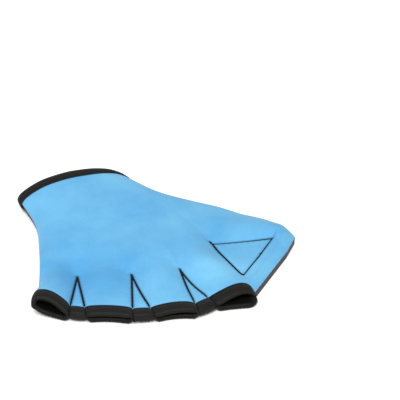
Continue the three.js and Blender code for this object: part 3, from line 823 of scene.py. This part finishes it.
def make_cloth(name, side, material):
    """A panel of cloth: an outer skin laid out from the hem to the front, and its thickness inside."""
    seams = SeamMap(side)
    bm = bmesh.new()
    bmesh.ops.create_grid(bm, x_segments=len(COLUMNS) - 1, y_segments=ROW_COUNT, size=1.0)
    across = bm.verts.layers.float.new("across")
    along = bm.verts.layers.float.new("along")
    seam = bm.verts.layers.float.new("seam")
    lining = bm.verts.layers.float.new("lining")
    painted_light_and_shade = bm.verts.layers.float.new("painted_light_and_shade")
    outward = bm.verts.layers.float_vector.new("outward")
    for vert in bm.verts:
        vert[across] = COLUMNS[round((vert.co.x + 1) / 2 * (len(COLUMNS) - 1))]
        vert[along] = ROWS[round((vert.co.y + 1) / 2 * ROW_COUNT)]
    for vert in bm.verts:
        vert.co = skin(side, vert[across], round(vert[along], 6)) * MM
    if side == "back":
        bmesh.ops.reverse_faces(bm, faces=bm.faces)
    bmesh.ops.remove_doubles(bm, verts=bm.verts, dist=0.004 * MM)
    bm.normal_update()
    normals = {}
    for vert in bm.verts:
        normal = vert.normal.copy()
        at_side = vert[across] in (0.0, float(ACROSS))
        if at_side or vert[along] == 1.0 and vert[across] >= TRIANGLE_CELL:
            normal.z = 0
        normals[vert] = normal.normalized()
    for vert, normal in normals.items():
        vert[outward] = normal
        lift, painted_seam_shade = cloth_relief(side, seams, vert[across], vert[along], vert.co / MM)
        vert[seam] = painted_seam_shade
        # Painted light and shade, from the patches above
        vert[painted_light_and_shade] = spread_over(PAINTED_LIGHT_AND_SHADE, vert.co / MM)
        vert.co += normal * lift * MM
    keep_above_floor(bm.verts)
    made = bmesh.ops.extrude_face_region(bm, geom=bm.faces[:], use_keep_orig=True)
    for vert in [item for item in made["geom"] if isinstance(item, bmesh.types.BMVert)]:
        depth = thickness(vert[across], vert[along])
        vert.co -= vert[outward] * depth * MM
        vert[lining] = 1.0
        vert[seam] = 0.0
    bmesh.ops.recalc_face_normals(bm, faces=bm.faces)
    return finish_piece(bm, name, material, f"{side}_panel", sharp=55)


# Section of a binding tape, as (run, rise): run is the distance along the cloth, from its edge on,
# rise the height above its outer skin as a share of the tape's thickness, past the clearance
TAPE_TOP = ((-8.0, 0.0), (-8.15, 0.45), (-7.75, 0.9), (-7.0, 0.95), (-6.3, 0.6), (-5.6, 0.95),
            (-4.2, 1.0), (-2.6, 1.0), (-1.0, 1.0))
NOSE_ANGLES = (68, 40, 13, -13, -40, -68)
STITCH_RUN = -6.3
CLEAR = 0.1
PUFF_AT = 2.6
# How far the tape's nose over a web sticks out, as a share of its height
WEB_NOSE = 0.55


def tape_row(run, hem):
    """Share of the way at which a point of the tape lies over the cloth."""
    share = min(0, run) / -BINDING_DEPTH
    return HEM_LIP * share if hem else 1 - LIP * share


def tape_point(side, u, run, rise, hem):
    """Point at a distance along the cloth from its edge and at a height over its outer skin."""
    v = tape_row(run, hem)
    across, _, normal = tangents(side, u, v)
    forward = across.cross(normal) if side == "back" else normal.cross(across)
    if hem:
        forward.negate()
    return skin(side, u, v) + normal * rise + forward * max(0.0, run)


def tape_heights(puff):
    """The outer face of the tape, with its middle puffed up."""
    return [(run, CLEAR + TAPE_THICKNESS * share + puff * hill(run + PUFF_AT, PUFF_AT) * (share > 0))
            for run, share in TAPE_TOP]


def channel(side, u, hem, puff, depth=1.0, pinch=1.0):
    """Section of a folded tape round one layer of cloth: outer face, nose, inner face, and back
    along the cloth. The second list says which points face the hollow."""
    cloth = BOUND_THICKNESS
    top = [(run * depth, CLEAR + (rise - CLEAR) * pinch) for run, rise in tape_heights(puff)]
    radius = cloth / 2 + top[-1][1]
    nose = [(0.1 + radius * math.cos(math.radians(a)), radius * math.sin(math.radians(a)) - cloth / 2)
            for a in NOSE_ANGLES]
    under = [(run * depth, -cloth - rise) for run, rise in reversed(tape_heights(0.0))]
    slot = [(-0.3, -cloth - CLEAR / 2), (CLEAR / 2, -cloth / 2), (-0.3, CLEAR / 2)]
    profile = top + nose + under + slot
    return [tape_point(side, u, run, rise, hem) for run, rise in profile], [
        rise < -cloth / 2 for run, rise in profile]


def part(back, palm, inner):
    """Keeps the inner faces of the back's tape and of the palm's tape on their own sides."""
    least = 0.08
    for b, p, inside in zip(back, palm, inner):
        if inside:
            middle = (b.z + p.z) / 2
            b.z = max(b.z, middle + least)
            p.z = min(p.z, middle - least)


def loft(bm, stations, closed, inner=()):
    """Skin through sections of equal size. Each section is a closed loop, and "inner" says which of its
    points face the hollow."""
    size = len(stations[0])
    count = len(stations)
    steps = count if closed else count - 1
    # Marks the points that face the hollow, for the tape's painted shade
    inner_painted_shade = bm.verts.layers.float.new("inner_painted_shade")
    verts = bmesh.ops.create_grid(bm, x_segments=steps, y_segments=size, size=1.0)["verts"]
    for vert in verts:
        i = round((vert.co.x + 1) / 2 * steps) % count
        j = round((vert.co.y + 1) / 2 * size) % size
        vert.co = stations[i][j] * MM
        vert[inner_painted_shade] = 1.0 if inner and inner[j] else 0.0
    keep_above_floor(verts)
    bmesh.ops.remove_doubles(bm, verts=verts, dist=0.001 * MM)


def finish_tape(bm, node):
    bmesh.ops.recalc_face_normals(bm, faces=bm.faces)
    piece = finish_piece(bm, node.replace("binding", "tape"), "nylon binding tape", node)
    smooth = piece.modifiers.new("smooth", "SUBSURF")
    smooth.levels = 1
    smooth.render_levels = 1
    return piece


def level(direction):
    """A direction without its rise, one long."""
    return Vector((direction.x, direction.y, 0)).normalized()


def corner_stations(last, first, outward, bulge, count=3):
    """Sections round the end of an opening, from one layer's tape to the other's."""
    shares = [k / (count + 1) for k in range(1, count + 1)]
    return [[a.lerp(b, t) + outward * bulge * math.sin(math.pi * t) for a, b in zip(last, first)]
            for t in shares]


TAPE_STEPS = 30
CROWDED_STEPS = 12


def tape_columns(cell):
    """Places of a finger tape's sections. They stand closer at its ends, and on the little finger's
    at the outer end alone."""
    low, high = cell + TAPE_INSET, cell + 1 - TAPE_INSET
    if cell:
        return [mix(low, high, 0.5 - 0.5 * math.cos(math.pi * k / TAPE_STEPS)) for k in range(TAPE_STEPS + 1)]
    shares = [1 - math.cos(math.pi / 2 * k / TAPE_STEPS) for k in range(CROWDED_STEPS + 1)]
    rest = TAPE_STEPS - CROWDED_STEPS
    shares += [mix(shares[-1], 1, k / rest) for k in range(1, rest + 1)]
    return [high * share for share in shares]


def make_finger_tape(name, cell, bulges):
    """Tape round a finger's opening, from one web to the next."""
    puff = bpy.context.scene.glove_form.tape_puff
    columns = tape_columns(cell)
    low, high = columns[0], columns[-1]
    backs, palms = [], []
    for u in columns:
        depth = tape_depth(cell, u - cell)
        ends = min(u - low if cell else 1, high - u)
        pinch = 1 - TAPE_PINCH * hill(ends, PINCH_REACH)
        back, inner = channel("back", u, False, puff, depth, pinch)
        palm, _ = channel("palm", u, False, puff, depth, pinch)
        part(back, palm, inner)
        backs.append(back)
        palms.append(palm)
    right = level(tangents("back", high, 1)[0])
    stations = backs + corner_stations(backs[-1], palms[-1], right, bulges[1]) + palms[::-1]
    if cell:
        left = level(-tangents("back", low, 1)[0])
        stations += corner_stations(palms[0], backs[0], left, bulges[0])
    bm = bmesh.new()
    loft(bm, stations, True, inner)
    return finish_tape(bm, name)


def make_hem_tape(name):
    """Tape folded over the wrist's hem."""
    puff = bpy.context.scene.glove_form.tape_puff
    columns = [c for c in COLUMNS if cell_of(c) in (0, 2, 4, 6, 8)][::2]
    stations = [channel("back", u, True, puff)[0] for u in columns + [float(ACROSS)]]
    stations += [channel("palm", u, True, puff)[0] for u in [float(ACROSS)] + columns[::-1]]
    bm = bmesh.new()
    loft(bm, stations, True)
    return finish_tape(bm, name)


def web_station(u, share, puff, bulge):
    """Section of the tape over a web, round both layers of cloth."""
    top = [(run, CLEAR + (rise - CLEAR + bulge * hill(run + 2.2, 3.4)) * share)
           for run, rise in tape_heights(puff)]
    outer = [tape_point("back", u, run, rise, False) for run, rise in top]
    lower = [tape_point("palm", u, run, rise, False) for run, rise in top]
    upper_edge = tape_point("back", u, 0, 0, False)
    lower_edge = tape_point("palm", u, 0, 0, False)
    middle = (upper_edge + lower_edge) / 2
    forward = level(tangents("back", u, 1)[1])
    up = Vector((0, 0, 1))
    radius = (upper_edge.z - lower_edge.z) / 2 + top[-1][1]
    reach = WEB_NOSE * mix(0.6, 1.0, share)
    nose = [middle + (forward * reach * math.cos(angle) + up * math.sin(angle)) * radius
            for angle in map(math.radians, NOSE_ANGLES)]
    slot = [tape_point("palm", u, -0.3, 0.03, False), middle + forward * 0.3,
            tape_point("back", u, -0.3, 0.03, False)]
    return outer + nose + lower[::-1] + slot


def make_web_tape(name, cell):
    """Tape over the edge of a web: a short pillow between two openings."""
    form = bpy.context.scene.glove_form
    count = 14
    stations = []
    for k in range(count + 1):
        t = k / count
        share = max(0.12, (1 - abs(2 * t - 1) ** 2.2) ** (1 / 2.2))
        stations.append(web_station(cell + t, share, form.tape_puff, form.web_puff))
    bm = bmesh.new()
    loft(bm, stations, False)
    bmesh.ops.holes_fill(bm, edges=[e for e in bm.edges if e.is_boundary], sides=0)
    return finish_tape(bm, name)


def add_stitch(bm, start, end, normal, width, height=None):
    """One stitch: a short plump length of thread that dives into the cloth at both ends."""
    along = end - start
    length = along.length
    along.normalize()
    sideways = normal.cross(along).normalized()
    up = along.cross(sideways)
    turn = Matrix((along, sideways, up)).transposed().to_4x4()
    scale = Matrix.Diagonal((length / 2, width / 2, (height or width * 0.8) / 2, 1))
    middle = (start + end) / 2
    matrix = Matrix.Translation(middle * MM) @ turn @ scale @ Matrix.Diagonal((MM, MM, MM, 1))
    bmesh.ops.create_icosphere(bm, subdivisions=2, radius=1.0, matrix=matrix)


# Width of the triangle's thin and bold seams as shares of the webs' seams, and how far the zigzag swings
# to each side, in mm
FINE_SEAM = 0.4
BOLD_SEAM = 1.25
ZIGZAG = 0.55


def make_seam_stitches(name, side, keys):
    """Zigzag stitches that lie in the groove of each seam."""
    form = bpy.context.scene.glove_form
    paths = seam_paths(side, on_cloth)
    up = Vector((0, 0, 1 if side == "back" else -1))
    bm = bmesh.new()
    for key in keys:
        weight = {"triangle_top": FINE_SEAM, "triangle_sides": BOLD_SEAM}.get(key, 1.0)
        points = walk(paths[key], form.seam_stitch)
        for i, (a, b) in enumerate(zip(points, points[1:])):
            along = (b - a).normalized()
            sideways = up.cross(along).normalized()
            swing = sideways * ZIGZAG * weight * (1 if i % 2 else -1)
            sink = up * (0.12 - form.seam_depth)
            add_stitch(bm, a - along * 0.25 + swing + sink, b + along * 0.25 - swing + sink, up,
                       form.thread_width * weight)
            add_stitch(bm, a + sink, b + sink, up, form.thread_width * 1.5 * weight, 0.5)
    return finish_piece(bm, name, "polyester thread", None)


def make_tape_stitches(name):
    """Straight stitches along the inner edge of every tape."""
    form = bpy.context.scene.glove_form
    rise = CLEAR + TAPE_THICKNESS * 0.6 + 0.12
    bm = bmesh.new()
    runs = [(side, cell + (0 if cell == 0 else TAPE_INSET), cell + 1 - TAPE_INSET, False)
            for side in ("back", "palm") for cell in (0, 2, 4, 6)]
    runs += [(side, cell, cell + 1, True) for side in ("back", "palm") for cell in (0, 2, 4, 6, 8)]
    for side, low, high, hem in runs:
        us = [mix(low, high, k / 40) for k in range(41)]
        runs_at = [STITCH_RUN * (1 if hem else tape_depth(cell_of(low), u - cell_of(low))) for u in us]
        path = [tape_point(side, u, run, rise, hem) for u, run in zip(us, runs_at)]
        normals = [tangents(side, u, tape_row(STITCH_RUN, hem))[2] for u in us]
        tree = kdtree.KDTree(len(path))
        for i, point in enumerate(path):
            tree.insert(point, i)
        tree.balance()
        points = walk(path, form.tape_stitch)
        for a, b in zip(points, points[1:]):
            normal = normals[tree.find(a.lerp(b, 0.5))[1]]
            add_stitch(bm, a.lerp(b, 0.1), a.lerp(b, 0.9), normal, form.thread_width * 0.85)
    return finish_piece(bm, name, "polyester thread", None)


# Loose ends of thread: (side, across, along) where each comes out, and where it points, in mm
TAILS = (
    (("back", 7.6, 0.87), (-2.0, 0.6, 0.3)),
    (("back", 7.5, 0.87), (-1.6, -0.5, 0.3)),
    (("back", 8.0, 0.875), (1.6, 1.4, 0.3)),
    (("palm", 3.0, 1.0), (0.8, -2.6, -0.4)),
    (("palm", 4.9, 1.0), (0.6, -2.0, -0.4)),
)


def make_thread_tails(name):
    """Short loose ends of thread where seams were finished off."""
    width = bpy.context.scene.glove_form.thread_width
    bm = bmesh.new()
    for place_on, reach in TAILS:
        start = on_cloth(*place_on)
        middle = start + Vector(reach) * 0.55
        end = start + Vector(reach) + Vector((0, 0, -0.3))
        for a, b in ((start, middle), (middle, end)):
            add_stitch(bm, a, b + (b - a) * 0.1, Vector((0, 0, 1)), width * 0.6)
    keep_above_floor(bm.verts)
    return finish_piece(bm, name, "polyester thread", None)


class GLOVE_OT_back(bpy.types.Operator):
    """Add the blue back of the glove"""
    bl_idname = "glove.back"
    bl_label = "Back"

    def execute(self, context):
        make_cloth("back_cloth", "back", "blue jersey on neoprene")
        return {"FINISHED"}


class GLOVE_OT_palm(bpy.types.Operator):
    """Add the charcoal palm of the glove"""
    bl_idname = "glove.palm"
    bl_label = "Palm"

    def execute(self, context):
        make_cloth("palm_cloth", "palm", "charcoal jersey on neoprene")
        return {"FINISHED"}


class GLOVE_OT_finger_tapes(bpy.types.Operator):
    """Add the tapes round the four finger openings"""
    bl_idname = "glove.finger_tapes"
    bl_label = "Finger tapes"

    def execute(self, context):
        make_finger_tape("pinky_binding", 0, (0.0, 0.8))
        make_finger_tape("ring_binding", 2, (0.8, 0.8))
        make_finger_tape("middle_binding", 4, (0.8, 0.8))
        make_finger_tape("index_binding", 6, (0.8, 1.8))
        return {"FINISHED"}


class GLOVE_OT_web_tapes(bpy.types.Operator):
    """Add the tapes over the three webs"""
    bl_idname = "glove.web_tapes"
    bl_label = "Web tapes"

    def execute(self, context):
        for i, cell in enumerate(WEB_CELLS):
            make_web_tape(f"web_binding_{i + 1}", cell)
        return {"FINISHED"}


class GLOVE_OT_wrist_tape(bpy.types.Operator):
    """Add the tape round the wrist's hem"""
    bl_idname = "glove.wrist_tape"
    bl_label = "Wrist tape"

    def execute(self, context):
        make_hem_tape("wrist_binding")
        return {"FINISHED"}


class GLOVE_OT_stitches(bpy.types.Operator):
    """Add the stitches of the seams and of the tapes"""
    bl_idname = "glove.stitches"
    bl_label = "Stitches"

    def execute(self, context):
        for side in ("back", "palm"):
            for i in range(len(WEBS)):
                make_seam_stitches(f"{side}_web_stitches_{i + 1}", side, [f"web_{i + 1}_1", f"web_{i + 1}_2"])
            make_seam_stitches(f"{side}_triangle_stitches", side, ["triangle_sides", "triangle_top"])
        make_tape_stitches("tape_stitches")
        make_thread_tails("thread_tails")
        return {"FINISHED"}


# The studio, in metres: a large soft light to the front left, and the camera at the photograph's angle
KEY_AT = (-0.9, -1.7, 2.2)
KEY_SIZE = 1.6
FLOOR_REACH = 3.0
CAMERA_AT = (-0.2249, -0.7157, 0.4223)
CAMERA_FORWARD = (0.3072, 0.8364, -0.4540)
SENSOR_WIDTH = 36.0


def link_facing(name, data, location, direction):
    """Adds a light or a camera that looks in a direction."""
    thing = bpy.data.objects.new(name, data)
    thing.location = location
    thing.rotation_euler = Vector(direction).to_track_quat("-Z", "Y").to_euler()
    bpy.context.scene.collection.objects.link(thing)
    return thing


class GLOVE_OT_stage(bpy.types.Operator):
    """Add the floor, the soft studio light and the camera"""
    bl_idname = "glove.stage"
    bl_label = "Stage"

    def execute(self, context):
        scene = context.scene
        studio = scene.glove_studio
        bm = bmesh.new()
        bmesh.ops.create_grid(bm, x_segments=2, y_segments=2, size=FLOOR_REACH)
        mesh = bpy.data.meshes.new("floor")
        bm.to_mesh(mesh)
        bm.free()
        floor = bpy.data.objects.new("floor", mesh)
        scene.collection.objects.link(floor)
        material, tree = new_material("matte white floor")
        shader = add_node(tree, "ShaderNodeBsdfPrincipled", {
            "Base Color": linear(scene.glove_colours.floor), "Roughness": 0.9, "Specular IOR Level": 0.1})
        add_node(tree, "ShaderNodeOutputMaterial", {"Surface": shader.outputs["BSDF"]})
        mesh.materials.append(material)
        world = bpy.data.worlds.new("pale surround")
        world.use_nodes = True
        background = world.node_tree.nodes["Background"]
        background.inputs["Color"].default_value = (1, 1, 1, 1)
        background.inputs["Strength"].default_value = studio.world_strength
        scene.world = world
        key = bpy.data.lights.new("key", "AREA")
        key.shape = "DISK"
        key.size = KEY_SIZE
        key.energy = studio.key_power
        link_facing("key", key, KEY_AT, -Vector(KEY_AT))
        camera = bpy.data.cameras.new("camera")
        camera.lens = studio.lens
        camera.sensor_width = SENSOR_WIDTH
        camera.clip_start = 0.01
        scene.camera = link_facing("camera", camera, CAMERA_AT, CAMERA_FORWARD)
        scene.view_settings.view_transform = "Standard"
        return {"FINISHED"}


class GLOVE_PT_panel(bpy.types.Panel):
    """The pieces of the glove, and its sizes and colours"""
    bl_idname = "GLOVE_PT_panel"
    bl_label = "Webbed swim glove"
    bl_space_type = "VIEW_3D"
    bl_region_type = "UI"
    bl_category = "Glove"

    def draw(self, context):
        layout = self.layout
        for operator in OPERATORS:
            layout.operator(operator.bl_idname)
        for group in (context.scene.glove_form, context.scene.glove_colours, context.scene.glove_studio):
            box = layout.box()
            for name in group.bl_rna.properties.keys():
                if name not in ("rna_type", "name"):
                    box.prop(group, name)


GROUPS = (GloveForm, GloveColours, GloveStudio)
OPERATORS = (GLOVE_OT_back, GLOVE_OT_palm, GLOVE_OT_finger_tapes, GLOVE_OT_web_tapes, GLOVE_OT_wrist_tape,
             GLOVE_OT_stitches, GLOVE_OT_stage)
CLASSES = GROUPS + OPERATORS + (GLOVE_PT_panel,)


def register():
    for cls in CLASSES:
        bpy.utils.register_class(cls)
    bpy.types.Scene.glove_form = bpy.props.PointerProperty(type=GloveForm)
    bpy.types.Scene.glove_colours = bpy.props.PointerProperty(type=GloveColours)
    bpy.types.Scene.glove_studio = bpy.props.PointerProperty(type=GloveStudio)


def unregister():
    del bpy.types.Scene.glove_studio
    del bpy.types.Scene.glove_colours
    del bpy.types.Scene.glove_form
    for cls in reversed(CLASSES):
        bpy.utils.unregister_class(cls)


def main():
    register()
    bpy.ops.glove.stage()
    bpy.ops.glove.back()
    bpy.ops.glove.palm()
    bpy.ops.glove.finger_tapes()
    bpy.ops.glove.web_tapes()
    bpy.ops.glove.wrist_tape()
    bpy.ops.glove.stitches()


if __name__ == "__main__":
    main()
